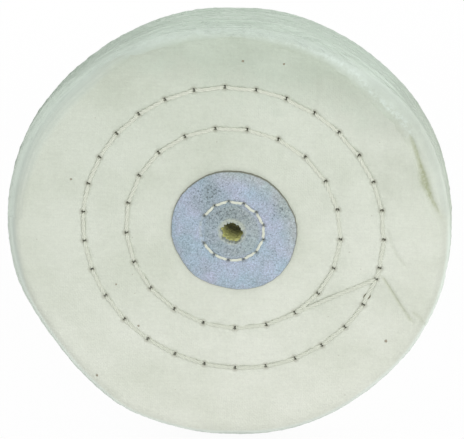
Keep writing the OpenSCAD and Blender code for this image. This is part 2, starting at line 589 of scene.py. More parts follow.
class PlyMaker:
    """Makes each ply of the stack from the two flat patterns."""

    def __init__(self, context):
        scene = context.scene
        self.cloth, self.seam = scene.wheel_cloth, scene.wheel_seams
        self.seams = Seams(self.seam, scene.wheel_leather)
        self.fine, self.plain = (PlyPattern(self.seams, self.cloth, self.seam, fine)
                                 for fine in (True, False))

    def make(self, index, name):
        cloth = self.cloth
        pitch, shoulder = cloth.pitch / MM, cloth.shoulder / MM
        middle = (index + 0.5) * pitch - half_stack(cloth)
        side = FRONT if middle < 0 else BACK
        layer = min(index, cloth.plies - 1 - index)  # 0 is the ply on the face
        shows = layer < FINE_PLIES
        pattern = self.fine if shows else self.plain
        rng = np.random.default_rng(1000 + index)

        flat = pattern.points.copy()
        r, turn = reach(flat), direction(flat)
        edge = outline(turn, cloth.diameter / MM) - shoulder_inset(
            (layer + 0.5) * pitch, shoulder)
        edge += 0.12 * ripple(polar(30.0, turn), 18, 300 + index // 4)
        if side == FRONT:
            # At the top the front cloth has drawn back and shows the plies behind it. In the
            # right margin it has been pushed over the shoulder and hides them instead.
            at, drawn = np.array(FRONT_EDGE).T
            top = window(turn, (2, 8), (116, 124))
            torn = 0.22 * ripple(polar(30.0, turn), 1.7, 77)
            right = window(turn, (-52, -28), (30, 60))
            low = (1 - right) * (1 - smooth_step(turn, -5, 20))
            edge += right * max(0.0, 2.0 - 0.45 * layer) + low * max(0.0, 0.95 - 0.4 * layer)
            if layer == 0:
                edge += top * (np.interp(turn, at, drawn) + torn - edge)
        fray = frayed(rng, len(pattern.rim), cloth.fray / MM)
        fringe = np.zeros(len(flat))
        fringe[pattern.rim] = fray
        lint = np.zeros(len(flat))
        out = np.clip((r - PLAIN_RADIUS) / (TEMPLATE_RADIUS - PLAIN_RADIUS), 0, None)
        radius = np.where(r > PLAIN_RADIUS,
                          PLAIN_RADIUS + out * (edge - PLAIN_RADIUS) + fringe, r)
        if side == FRONT and shows:
            # Loose fibres gather along the front ply's edge, most of them at the right.
            gathered = window(turn, (26, 36), (112, 126))
            gathered *= 1 - 0.5 * smooth_step(turn, 58, 75)
            lint = gathered * bell(radius - np.interp(turn, at, drawn) - 0.35, 0.8)
        bore_edge = rng.uniform(-0.05, 0.24, len(pattern.bore))
        bore_edge += 0.1 * np.sin(np.arange(len(bore_edge)) * 2.1 + index)
        radius[pattern.bore] += bore_edge
        flat *= (radius / np.maximum(r, 1e-6))[:, None]
        relief = Relief(flat, self.seams, self.seam, side)

        inset = edge - radius  # how far in from this ply's edge a point is
        at_rim = 1 - smooth_step(inset, 0.0, RIM_FALL)
        depth = np.abs(middle) * (1 - at_rim * (1 - rim_share(turn, cloth)))
        drawn_in = (relief.near * max(0.0, 1 - layer / 4)
                    + relief.broad * max(0.0, 1 - layer / 25)
                    + relief.crease * max(0.0, 1 - layer / 7))
        # The outer plies curl back at their edges, except low down, where they lie flat.
        low_down = smooth_step(-np.sin(np.radians(turn)), 0.2, 0.7)
        curl = 0.35 * max(0.0, 1 - layer / 8) * (1 - smooth_step(inset, 0.0, 2.2))
        curl *= 1 - 0.75 * low_down
        sway = 0.22 * smooth_step(radius, 38, 50) * ripple(polar(40.0, turn), 30, 91)
        level = side * (depth - drawn_in - curl) + sway
        thick = cloth.cloth / MM + (cloth.edge - cloth.cloth) / MM * (
            1 - smooth_step(inset, 0.0, 1.2))
        room = 0.96 * pitch * (1 - at_rim * (1 - rim_share(turn, cloth)))
        thick = np.minimum(thick, room)
        points, triangles = slab(pattern, flat, level - thick / 2, level + thick / 2)
        brushed = np.full(len(flat), 3.2)
        if shows:
            # The faces are brushed open over a wide band only at the upper left of the front.
            around = turn % 360
            upper_left = smooth_step(around, 112, 140) * (
                1 - 0.45 * smooth_step(around, 160, 180) - 0.55 * smooth_step(around, 192, 204))
            brushed = 0.9 + (2.9 * upper_left if side == FRONT else 0.8)
            if 0 < layer and side == FRONT:
                brushed += 3.0 * window(turn, (4, 16), (116, 124))
                brushed += 1.2 * window(turn, (2, 12), (50, 70))
        wear = (1 - smooth_step(inset, 0.0, brushed)) * 0.95
        # The right side is brushed less than the rest.
        wear *= 1 - 0.5 * window(turn, (-4, 6), (30, 60))
        # Painted shade round the needle holes, with some needle oil.
        oil_and_shade = 0.95 * bell(relief.hole, 0.53) * smooth_step(relief.radius, 14, 16) * shows
        # Painted shade down in the creases.
        crease_shade = np.clip(relief.crease_shade, 0, 1) * shows
        marks = {mark: np.tile(values, 2) for mark, values in (
            ("wear", wear), ("lint", lint), ("oil_and_shade", oil_and_shade), ("crease_shade", crease_shade))}
        marks["ply"] = np.full(2 * len(flat), rng.random())
        return make_mesh(name, points, triangles, marks, sharp=50)


# ------------------------------------------------------------------ node trees

class Socket:
    """A value in a node tree. Sums, differences and products of it make Math nodes."""

    def __init__(self, nodes, out):
        self.nodes, self.out = nodes, out

    def __add__(self, other):
        return self.nodes.math("ADD", self, other)

    def __sub__(self, other):
        return self.nodes.math("SUBTRACT", self, other)

    def __mul__(self, other):
        return self.nodes.math("MULTIPLY", self, other)

    def __abs__(self):
        return self.nodes.math("ABSOLUTE", self)


class Outputs:
    """The outputs of a node, by number or by name."""

    def __init__(self, nodes, outs):
        self.nodes, self.outs = nodes, outs

    def __getitem__(self, key):
        return Socket(self.nodes, self.outs[key])


class Nodes:
    """A short way to write a node tree: add() makes a node and sets or links its inputs."""

    def __init__(self, tree):
        self.tree = tree

    def add(self, kind, inputs=(), **settings):
        node = self.tree.nodes.new(kind)
        for key, value in settings.items():
            setattr(node, key, value)
        for key, value in dict(inputs).items():
            if isinstance(value, Socket):
                self.tree.links.new(value.out, node.inputs[key])
            else:
                node.inputs[key].default_value = value
        return Outputs(self, node.outputs)

    def math(self, kind, *values, clamp=False):
        return self.add("ShaderNodeMath", dict(enumerate(values)), operation=kind,
                        use_clamp=clamp)[0]

    def vector(self, kind, *values):
        out = self.add("ShaderNodeVectorMath", dict(enumerate(values)), operation=kind)
        return out["Value" if kind in ("LENGTH", "DISTANCE", "DOT_PRODUCT") else "Vector"]

    def scaled(self, vector, factor):
        return self.add("ShaderNodeVectorMath", {0: vector, "Scale": factor},
                        operation="SCALE")[0]

    def split(self, vector):
        out = self.add("ShaderNodeSeparateXYZ", {0: vector})
        return out[0], out[1], out[2]

    def join(self, x, y, z):
        return self.add("ShaderNodeCombineXYZ", {0: x, 1: y, 2: z})[0]

    def circle(self, points, radius):
        """A circle for Geometry Nodes."""
        return self.add("GeometryNodeCurvePrimitiveCircle",
                        {"Resolution": points, "Radius": radius})[0]

    def mark(self, name):
        """A value that make_mesh() kept on the points, in a shader."""
        return self.add("ShaderNodeAttribute", attribute_name=name,
                        attribute_type="GEOMETRY")["Fac"]

    def named(self, name):
        """The same in Geometry Nodes."""
        return self.add("GeometryNodeInputNamedAttribute", {"Name": name},
                        data_type="FLOAT")[0]

    def object_mm(self):
        """Object coordinates in millimetres."""
        return self.scaled(self.add("ShaderNodeTexCoord")["Object"], 1 / MM)


# ------------------------------------------------------------------ Geometry Nodes

def geometry_group(name, **sockets):
    """A Geometry Nodes group with a Geometry input and these others, and one output."""
    tree = bpy.data.node_groups.new(name, "GeometryNodeTree")
    tree.is_modifier = True
    tree.interface.new_socket("Geometry", in_out="INPUT", socket_type="NodeSocketGeometry")
    for label, kind in sockets.items():
        tree.interface.new_socket(label, in_out="INPUT", socket_type="NodeSocket" + kind)
    tree.interface.new_socket("Geometry", in_out="OUTPUT", socket_type="NodeSocketGeometry")
    nodes = Nodes(tree)
    return tree, nodes, nodes.add("NodeGroupInput")


def close_group(nodes, geometry, material):
    """Ends a group: real geometry, smooth, with its material."""
    real = nodes.add("GeometryNodeRealizeInstances", {"Geometry": geometry})[0]
    smooth = nodes.add("GeometryNodeSetShadeSmooth", {"Geometry": real})[0]
    done = nodes.add("GeometryNodeSetMaterial", {"Geometry": smooth, "Material": material})[0]
    nodes.add("NodeGroupOutput", {0: done})


def run_group(name, tree, source, values):
    """Runs a group on a source mesh and keeps the result as a plain mesh."""
    carrier = bpy.data.objects.new(name + "_source", source)
    bpy.context.scene.collection.objects.link(carrier)
    modifier = carrier.modifiers.new(tree.name, "NODES")
    modifier.node_group = tree
    for item in tree.interface.items_tree:
        if item.in_out == "INPUT" and item.name in values:
            modifier[item.identifier] = values[item.name]
    graph = bpy.context.evaluated_depsgraph_get()
    mesh = bpy.data.meshes.new_from_object(carrier.evaluated_get(graph), depsgraph=graph)
    bpy.data.objects.remove(carrier)
    bpy.data.meshes.remove(source)
    mesh.name = name
    return mesh


def yarn_group():
    """Lays a twisted yarn along every broken line of a mesh."""
    tree, n, given = geometry_group("Twisted yarn", Width="Float", Flatness="Float",
                                    Twist="Float", Step="Float", Strands="Int",
                                    Material="Material")
    line = n.add("GeometryNodeMeshToCurve", {"Mesh": given["Geometry"]})[0]
    even = n.add("GeometryNodeResampleCurve", {"Curve": line, "Length": given["Step"]},
                 mode="LENGTH")[0]
    length_at = n.add("GeometryNodeSplineParameter")["Length"]
    turns = n.math("DIVIDE", length_at, given["Twist"])
    even = n.add("GeometryNodeSetCurveRadius", {"Curve": even, "Radius": n.named("pull")})[0]
    tilted = n.add("GeometryNodeSetCurveTilt", {"Curve": even, "Tilt": turns * (2 * math.pi)})[0]
    # Strands sit on a small circle and touch, so all of them together are Width across.
    places = n.circle(given["Strands"], given["Width"] * 0.235)
    strand = n.circle(7, given["Width"] * 0.27)
    bundle = n.add("GeometryNodeInstanceOnPoints", {"Points": places, "Instance": strand})[0]
    bundle = n.add("GeometryNodeRealizeInstances", {"Geometry": bundle})[0]
    # Each section is pressed flat towards the level of the thread's own middle.
    x, y, z = n.split(n.add("GeometryNodeInputPosition")[0])
    centred = n.add("GeometryNodeStoreNamedAttribute",
                    {"Geometry": tilted, "Name": "middle", "Value": y},
                    data_type="FLOAT", domain="POINT")[0]
    swept = n.add("GeometryNodeCurveToMesh",
                  {"Curve": centred, "Profile Curve": bundle, "Fill Caps": True})[0]
    middle = n.named("middle")
    pressed = n.add("GeometryNodeSetPosition", {
        "Geometry": swept,
        "Position": n.join(x, middle + (y - middle) * given["Flatness"], z)})[0]
    pressed = n.add("GeometryNodeRemoveAttribute", {"Geometry": pressed, "Name": "middle"})[0]
    close_group(n, pressed, given["Material"])
    return tree


def nap_group():
    """Scatters bent fibres over a band of faces, most of them lying along the rim."""
    tree, n, given = geometry_group("Brushed nap", Density="Float", Fibre="Float",
                                    Thickness="Float", Lift="Float", Seed="Int",
                                    Material="Material")
    spots = n.add("GeometryNodeDistributePointsOnFaces",
                  {"Mesh": given["Geometry"], "Density": given["Density"] * n.named("nap"),
                   "Seed": given["Seed"]}, distribute_method="RANDOM")
    along = n.vector("CROSS_PRODUCT", spots["Normal"], (0, 1, 0))
    upright = n.add("FunctionNodeAlignRotationToVector", {"Vector": spots["Normal"]}, axis="Z")[0]
    lying = n.add("FunctionNodeAlignRotationToVector", {"Rotation": upright, "Vector": along},
                  axis="X", pivot_axis="Z")[0]

    def random_value(low, high, offset, kind="FLOAT_VECTOR"):
        return n.add("FunctionNodeRandomValue",
                     {"Min": low, "Max": high, "Seed": given["Seed"] + offset}, data_type=kind)

    # A few fibres stand far out of line, and the rest nearly lie along the rim.
    wild = random_value(0.0, 1.0, 5, "FLOAT")[1]
    strength = n.math("POWER", wild, 5.0) + 0.35
    turn = n.scaled(random_value((-0.3, -0.16, -0.8), (0.3, 0.16, 0.8), 1)[0], strength)
    turn = n.add("FunctionNodeEulerToRotation", {"Euler": turn})[0]
    turned = n.add("FunctionNodeRotateRotation", {"Rotation": lying, "Rotate By": turn},
                   rotation_space="LOCAL")[0]
    half = given["Fibre"] * 0.5
    bend = n.add("GeometryNodeCurveQuadraticBezier", {
        "Resolution": 3, "Start": n.join(half * -1.0, 0.0, 0.0),
        "Middle": n.join(0.0, half * 0.25, given["Lift"] * 2.0),
        "End": n.join(half, 0.0, 0.0)})[0]
    fibre = n.add("GeometryNodeCurveToMesh", {
        "Curve": bend, "Profile Curve": n.circle(3, given["Thickness"]), "Fill Caps": True})[0]
    placed = n.add("GeometryNodeInstanceOnPoints",
                   {"Points": spots["Points"], "Instance": fibre, "Rotation": turned,
                    "Scale": random_value((0.4, 0.7, 0.3), (1.4, 1.3, 1.6), 2)[0]})[0]
    close_group(n, placed, given["Material"])
    return tree


# ------------------------------------------------------------------ materials

def new_material(name, build):
    """A material whose shader build() makes."""
    material = bpy.data.materials.new(name)
    material.use_nodes = True
    material.node_tree.nodes.clear()
    nodes = Nodes(material.node_tree)
    nodes.add("ShaderNodeOutputMaterial", {"Surface": build(nodes)})
    return material


def noise(vector, scale, detail=3.0, roughness=0.55):
    return vector.nodes.add("ShaderNodeTexNoise", {
        "Vector": vector, "Scale": scale, "Detail": detail, "Roughness": roughness})["Fac"]


def span(value, low, high, to_low=0.0, to_high=1.0):
    """A value that runs from to_low to to_high while another runs from low to high."""
    return value.nodes.add("ShaderNodeMapRange", {
        "Value": value, "From Min": low, "From Max": high,
        "To Min": to_low, "To Max": to_high}, clamp=True)[0]


def patchy(vector, scale, low, high, to_low=0.0, to_high=1.0, detail=3.0, roughness=0.55):
    """Noise that is spread over a span."""
    return span(noise(vector, scale, detail, roughness), low, high, to_low, to_high)


def opaque(value):
    return value if isinstance(value, Socket) else (*value, 1.0)


def mix(amount, a, b):
    return amount.nodes.add("ShaderNodeMix", {0: amount, 6: opaque(a), 7: opaque(b)},
                            data_type="RGBA")[2]


def shade(tint, *by):
    """A colour times one grey, or times three values for its red, green and blue."""
    red, green, blue = by * 3 if len(by) == 1 else by
    add = tint.nodes.add
    factor = add("ShaderNodeCombineColor", {0: red, 1: green, 2: blue})[0]
    return add("ShaderNodeMix", {0: 1.0, 6: tint, 7: factor}, data_type="RGBA",
               blend_type="MULTIPLY")[2]


def dim(rgb, factor):
    return tuple(min(1.0, c * factor) for c in rgb)


def matt(n, tint, rough, specular, bump=None, sheen=(0.0, 0.5)):
    """A matt surface. bump is (height, strength, depth in metres), sheen (weight, roughness)."""
    inputs = {"Base Color": tint, "Roughness": rough, "Specular IOR Level": specular,
              "Sheen Weight": sheen[0], "Sheen Roughness": sheen[1]}
    if bump:
        inputs["Normal"] = n.add("ShaderNodeBump", dict(zip(("Height", "Strength", "Distance"),
                                                            bump)))[0]
    return n.add("ShaderNodeBsdfPrincipled", inputs)[0]


def calico(finish):
    """Plain woven calico with clouds, slubs and seed flecks, brushed open at the rim."""
    def build(n):
        mm = n.object_mm()
        x, y, z = n.split(mm)
        ply, wear = n.mark("ply"), n.mark("wear")
        flat = n.join(x, z, ply * 400.0)  # no two plies have the same clouds and flecks
        radius = n.math("SQRT", x * x + z * z)

        # One warp and one weft yarn to each pitch, not quite straight.
        drift = patchy(flat, 0.16, 0.3, 0.7, -0.35, 0.35, 2.0)
        warp, weft = (n.math("SINE", (way + drift) * (math.pi / YARN_PITCH)) for way in (x, z))
        weave = warp * weft * 0.24 + (abs(warp) + abs(weft)) * 0.28
        weave = weave * n.math("SUBTRACT", 1.0, wear, clamp=True)
        thick_x = noise(n.vector("MULTIPLY", flat, (0.16, 2.1, 1.0)), 1.0, 2.0)
        thick_z = noise(n.vector("MULTIPLY", flat, (1.7, 0.2, 1.0)), 1.0, 2.0)
        slub = thick_x * 1.2 + thick_z * 0.8
        colour = mix(patchy(flat, 0.055, 0.34, 0.62, roughness=0.6), finish.cloth_shade,
                     finish.cloth)
        # Painted shade: it is greyer in a cloud across the top.
        way = math.radians(80)
        upper = n.vector("DOT_PRODUCT", mm, (math.cos(way), 0.0, math.sin(way)))
        drift = patchy(flat, 0.11, 0.3, 0.7, -5.0, 5.0)
        colour = mix(span(upper + drift, 30.5, 39.0), colour, shade(colour, 0.865, 0.90, 0.88))
        # Slubs, short fibres and the weave only lighten and darken it by a few hundredths.
        colour = shade(colour, span(slub, 0.72, 1.28, 0.98, 1.016) + weave * 0.014
                       + patchy(flat, 1.5, 0.3, 0.7, -0.045, 0.045, 4.0, 0.7))

        # Brushed edge: greener, with streaks that run round the rim.
        round_rim = n.join(n.math("ARCTAN2", z, x) * 50.0 * 0.22, y * 2.6, radius * 1.1)
        streaks = noise(round_rim, 1.0, 4.0, 0.65)
        rim = mix(span(streaks, 0.3, 0.72), dim(finish.rim, 0.96), dim(finish.rim, 1.04))
        near_face = span(abs(y), 3.8, 5.2)
        patches = patchy(n.vector("MULTIPLY", mm, (0.16, 0.5, 0.16)), 1.0, 0.36, 0.6,
                         detail=4.0, roughness=0.6)
        rim = mix(patches * 0.25 * near_face, rim, finish.lint)
        # Each ply's edge has a colour of its own, a little lighter or darker. Painted shade makes
        # all of them darker at the left, near the faces, low down, and at the upper left.
        tone_and_shade = (span(ply, 0.0, 1.0, 0.965, 1.02) * span(x, -50.5, -43.0, 0.91, 1.0)
                - near_face * span(z, -35.0, 0.0, 0.0, 0.07)
                - span(z, -8.0, -46.0, 0.0, 0.14) * span(x, 46.0, 38.0, 0.3, 1.0)
                - span(x - z, -60.0, -69.0, 0.0, 0.05))
        colour = mix(span(wear, 0.05, 0.8), colour, shade(rim, tone_and_shade))
        fluff = patchy(n.vector("MULTIPLY", mm, (1.1, 0.6, 1.1)), 1.0, 0.42, 0.62,
                       detail=4.0, roughness=0.7)
        colour = mix(n.mark("lint") * fluff, colour, finish.lint)
        # Painted light and shade: all of it is darker towards its upper left side and lighter
        # towards its lower right.
        side_up = z * 0.92 - x * 0.22
        colour = shade(colour, *(span(side_up, -46, 46, low, high) for low, high in (
            (1.09, 0.86), (1.085, 0.90), (1.09, 0.87))))
        # Painted shade in soft patches over the front.
        for cloud_x, cloud_z, size, strength in FRONT_SHADE_PATCHES:
            away = n.vector("DISTANCE", mm, (cloud_x, FRONT_LEVEL, cloud_z)) + drift
            colour = shade(colour, span(away, 0.0, size, 1 - strength, 1.0))

        # Seed flecks: a few small brown bits, each in a cell of its own.
        large, small = (n.add("ShaderNodeTexVoronoi", {"Vector": flat, "Scale": scale},
                              voronoi_dimensions="3D", feature="F1")["Distance"]
                        for scale in (0.085, 0.21))
        large = large + patchy(flat, 5.0, 0.3, 0.7, -0.012, 0.012)
        colour = mix(span(large, 0.03, 0.018, 0.0, 0.75), colour, finish.seed)
        colour = mix(span(small, 0.045, 0.02, 0.0, 0.3), colour, finish.seed)
        nearest = 9.0
        for fleck_x, fleck_z, size in FRONT_FLECKS:
            away = n.vector("DISTANCE", mm, (fleck_x, FRONT_LEVEL, fleck_z))
            nearest = n.math("MINIMUM", nearest, n.math("DIVIDE", away, size))
        nearest = nearest + patchy(flat, 5.0, 0.3, 0.7, -0.35, 0.35)
        colour = mix(span(nearest, 1.2, 0.8, 0.0, 0.75), colour, finish.seed)

        # Painted shade: the two spare needle holes are dark marks, not cut holes.
        cos, sin = math.cos(SPARE_HOLE_LEAN), math.sin(SPARE_HOLE_LEAN)
        for hole_x, hole_z in SPARE_HOLES:
            off = n.vector("SUBTRACT", mm, (hole_x, FRONT_LEVEL, hole_z))
            along = n.vector("DOT_PRODUCT", off, (cos / 0.62, 0, sin / 0.62))
            across = n.vector("DOT_PRODUCT", off, (-sin / 0.2, 0, cos / 0.2))
            far = n.vector("LENGTH", n.join(along, across, n.split(off)[1] * 0.8))
            colour = mix(span(far, 1.3, 0.6, 0.0, 0.85), colour, finish.oil_and_shade)

        # Needle oil and painted shade at the stitches, painted shade in the creases,
        # and the stain round the bore, with painted shade deep in it.
        oil = n.mark("oil_and_shade") * patchy(flat, 1.1, 0.25, 0.6, 0.7, 1.0)
        colour = mix(n.math("MINIMUM", oil, 0.93), colour, finish.oil_and_shade)
        shaded_crease = n.mark("crease_shade") * patchy(flat, 1.6, 0.32, 0.6, 0.5, 1.0, 4.0, 0.7)
        colour = mix(n.math("MINIMUM", shaded_crease, 0.95), colour, finish.crease_shade)
        stain_and_shade = mix(patchy(n.join(0.0, y * 1.4, 0.0), 1.0, 0.35, 0.65), finish.bore,
                    dim(finish.bore, 0.6))
        # Painted shade: the stain is darker deeper into the bore, towards the middle of the
        # stack.
        stain_and_shade = shade(stain_and_shade, span(abs(y), 4.6, 0.5, 1.0, 0.3))
        colour = mix(span(radius, 3.9, 2.9, 0.0, 0.95), colour, stain_and_shade)

        fuzz = noise(mm, 3.2, 3.0, 0.7)
        height = weave + fuzz * 0.8 + slub * 0.8 + streaks * wear * 1.4
        return matt(n, colour, span(fuzz, 0.2, 0.8, 0.84, 0.98), 0.12, (height, 0.55, 0.00009),
                    (0.03, 0.5))
    return new_material("calico", build)


def lint(finish):
    """Loose cotton fibres, almost white."""
    def build(n):
        mm = n.object_mm()
        tint = mix(patchy(mm, 0.35, 0.35, 0.65), finish.rim, finish.lint)
        return matt(n, tint, patchy(mm, 2.0, 0.2, 0.8, 0.75, 0.95), 0.1)
    return new_material("cotton_lint", build)


def sewing_thread(finish):
    """Twisted cotton thread: hairy, a little darker in its twist, with painted shade down its
    holes.
    """
    def build(n):
        mm = n.object_mm()
        depth = abs(n.split(mm)[1])
        hairs = noise(mm, 4.5, 3.0, 0.7)
        tint = mix(span(hairs, 0.25, 0.75), dim(finish.thread, 0.9), finish.thread)
        # The stitches in the leather have been touched less than those in the cloth.
        tint = shade(tint, span(depth, 6.6, 7.2, 1.0, 1.07))
        # Painted shade: the thread darkens where it dives below the face into its hole.
        tint = mix(span(depth, 6.12, 5.2, 0.0, 0.85), tint, finish.oil_and_shade)
        return matt(n, tint, span(hairs, 0.2, 0.8, 0.72, 0.92), 0.2, (hairs, 0.5, 0.00006),
                    (0.15, 0.5))
    return new_material("sewing_thread", build)


def suede(finish, seam):
    """Blue-grey suede: lilac and grey clouds, dark specks where rubbed, a brown edge, painted
    shade.
    """
    def build(n):
        mm = n.object_mm()
        x, _, z = n.split(mm)
        radius = n.math("SQRT", x * x + z * z)
        tint = mix(patchy(mm, 0.17, 0.36, 0.64), finish.suede, finish.suede_lilac)

        def patch(patch_x, patch_z, size):
            """1 in the middle of a worn patch, 0 outside it."""
            away = n.vector("DISTANCE", n.join(x, z, 0.0), (patch_x, patch_z, 0.0))
            return span(away, size, 0.0)

        worn = n.math("MAXIMUM", patch(-4.5, 8.5, 6.5), patch(11.0, 6.5, 4.0))
        worn = n.math("MAXIMUM", worn, patch(-1.0, 4.0, 6.0) * 0.8)
        rubbed = patchy(mm, 0.24, 0.45, 0.72, detail=4.0, roughness=0.6) * 0.45 + worn * 0.7
        rubbed = n.math("ADD", rubbed, span(radius, 7.2, 6.2, 0.0, 0.4), clamp=True)
        tint = mix(rubbed, tint, finish.suede_grey)
        # Painted light and shade: darker at the left, lighter at the right.
        tint = shade(tint, span(x, -14, 14, 0.955, 1.035))
        # Grime has worked in round the bore, and along the edge at the upper right.
        inside = span(radius, 6.8, 5.8)
        grime = (span(radius, 11.0, 13.8, 0.0, 0.5) * span(x + z, 5.0, 13.0)
                 + inside * span(x, -5.0, 3.0, 0.1, 0.35))
        tint = mix(grime, tint, dim(finish.pressed, 0.8))
        tint = mix(inside * patchy(mm, 1.2, 0.5, 0.62, 0.0, 0.4), tint,
                   dim(finish.suede_grey, 0.55))
        # The nap itself is a fine salt and pepper of lighter and darker fibres.
        nap = noise(mm, 2.6, 4.0, 0.75)
        tint = shade(tint, span(nap, 0.32, 0.68, 0.6, 1.36))
        bits = noise(mm, 1.9, 2.0, 0.6) + worn * 0.12 + inside * 0.03
        tint = mix(span(bits, 0.66, 0.72, 0.0, 0.7), tint, dim(finish.suede_grey, 0.33))
        # Pale, stained leather where the machine's flange has pressed it round the bore.
        ring = span(radius, 3.5, 2.9) * patchy(mm, 1.3, 0.35, 0.55, 0.25, 0.85)
        tint = mix(ring, tint, finish.pressed)
        # A pale trace of the stitches that the nap has closed over on the left.
        trace = span(abs(radius - seam), 0.5, 0.15, 0.0, 0.4) * span(x, -6.4, -7.0)
        tint = mix(trace * patchy(mm, 1.6, 0.35, 0.6), tint, finish.pressed)
        # The cut edge's own darker colour, carried on as painted shade along the rim and round
        # the holes.
        tint = mix(n.mark("cut"), tint, finish.suede_edge)
        height = nap + noise(mm, 7.0, 2.0) * 0.6
        return matt(n, tint, span(nap, 0.2, 0.8, 0.85, 1.0), 0.12, (height, 0.6, 0.00018),
                    (0.25, 0.45))
    return new_material("blue_grey_suede", build)


# ------------------------------------------------------------------ operators

class WHEEL_OT_plies(Operator):
    """Cut the fifty discs of calico and lay them in the stack"""

    bl_idname = "wheel.plies"
    bl_label = "Cloth plies"

    def execute(self, context):
        maker = PlyMaker(context)
        finish = calico(context.scene.wheel_finishes)
        names = ["cloth_" + node for node in PLY_NODES]
        for index, node in enumerate(PLY_NODES):
            piece = add_piece(maker.make(index, names[index]), finish, "cotton_cloth", node)
            below = names[index + 1] if index + 1 < len(names) else names[index - 1]
        return {"FINISHED"}


def rim_band(cloth):
    """The smooth skin round the rim that the nap is scattered on."""
    half, shoulder = half_stack(cloth), cloth.shoulder / MM
    depths = np.array([0.02, 0.3, 0.7, 1.2, 1.9, 2.6, 4.0])
    level = np.concatenate([-(half - depths), [0.0], (half - depths)[::-1]])
    inset = np.array([shoulder_inset(half - abs(v), shoulder) for v in level])
    level = np.concatenate([[level[0]], level, [level[-1]]])
    inset = np.concatenate([[inset[0] + 1.6], inset, [inset[-1] + 1.6]])
    turn = np.arange(0, 360, 2.5)
    ring, row = len(turn), len(level)
    radius = outline(turn, cloth.diameter / MM)[:, None] - inset[None, :]
    a = np.radians(turn)[:, None]
    level = rim_share(turn, cloth)[:, None] * level[None, :]
    points = np.stack([radius * np.cos(a), level, radius * np.sin(a)], axis=-1)
    i, j = (v.ravel() for v in np.meshgrid(np.arange(ring), np.arange(row - 1), indexing="ij"))
    p, q = i * row + j, (i + 1) % ring * row + j
    triangles = np.concatenate([np.stack([p, q, q + 1], 1), np.stack([p, q + 1, p + 1], 1)])
    flat = points.reshape(-1, 3)
    around = np.tile(turn[:, None], (1, row)).ravel()
    patches = 0.55 + 0.45 * ripple(np.stack([around * 0.85, flat[:, 1] * 3], 1), 9, 41)
    top_right = window(around, (18, 34), (100, 125))
    near_face = bell(flat[:, 1] + half * rim_share(around, cloth) - 0.6, 1.4)
    amount = np.clip(0.6 * patches + 1.6 * top_right * near_face, 0.08, None)
    return make_mesh("rim_band", flat, triangles, {"nap": amount})


class WHEEL_OT_nap(Operator):
    """Brush the cut edges of the plies into a nap of loose fibres"""

    bl_idname = "wheel.nap"
    bl_label = "Rim nap"

    def execute(self, context):
        nap, scene = context.scene.wheel_nap, context.scene
        material = lint(scene.wheel_finishes)
        mesh = run_group("rim_nap", nap_group(), rim_band(scene.wheel_cloth), {
            "Density": nap.fibres / 0.01 ** 2, "Fibre": nap.fibre, "Thickness": nap.thickness,
            "Lift": nap.lift, "Seed": nap.seed, "Material": material})
        add_piece(mesh, material, "cotton_cloth")
        return {"FINISHED"}


HUB_THREAD = 0.72  # width of the thread in the leather, as a share of the seams' thread
HOLE_DIVE = 1.5  # how far a stitch's own end goes down its needle hole, in millimetres
LEG_POINTS = 10  # points along the thread inside the stack


def stitch_path(a, b, face, side, high, rng, apart, sunk=0.0):
    """A stitch's centreline from hole to hole: up out of one, over the face, down the next."""
    total = np.hypot(*(b - a))
    near = np.array([0.0, 0.03, 0.07, 0.13, 0.22, 0.36, 0.55, 0.85])
    run = np.arange(1.3, total / 2, 0.6)
    half = np.concatenate([near, run[run < total / 2 - 0.2]])
    s = np.concatenate([half, [total / 2], (total - half)[::-1]])
    u = np.minimum(s, total - s)
    height = high * (1 - np.exp(-u / 0.35)) - HOLE_DIVE * np.exp(-((u / 0.13) ** 1.1))
    along = (b - a) / total
    across = np.array([-along[1], along[0]])
    s = apart + s * (total - 2 * apart) / total  # the threads in a hole lie side by side
    sway = (0.06 * np.sin(np.pi * s / total) * rng.normal()
            + 0.03 * np.sin(2 * np.pi * s / total) * rng.normal())
    flat = a + s[:, None] * along + np.outer(sway, across)
    return np.stack([flat[:, 0], side * (face + height - sunk), flat[:, 1]], axis=1)


def leg_path(hole, face, side):
    """The thread inside the stack, from a stitch's end to the middle of the wheel."""
    levels = np.linspace(face - HOLE_DIVE * 0.9, 0.05, LEG_POINTS)
    return np.stack([np.full(LEG_POINTS, hole[0]), side * levels,
                     np.full(LEG_POINTS, hole[1])], axis=1)


def lines_mesh(name, paths, face, shares):
    """A mesh of edges only, one broken line for each path. pull is how thick the thread is
    at a point, as a share: each path has its own, and it is drawn thin below the face."""
    mesh = bpy.data.meshes.new(name)
    points = np.concatenate(paths) * MM
    below = face - np.abs(points[:, 1]) / MM
    edges, at = [], 0
    for path in paths:
        edges += [(at + k, at + k + 1) for k in range(len(path) - 1)]
        at += len(path)
    mesh.from_pydata(points.tolist(), edges, [])
    thick = np.repeat(shares, [len(path) for path in paths])
    thick = thick * (1 - 0.42 * smooth_step(below, -0.05, 0.45))
    pull = mesh.attributes.new("pull", "FLOAT", "POINT")
    pull.data.foreach_set("value", thick.astype(np.float32))
    return mesh


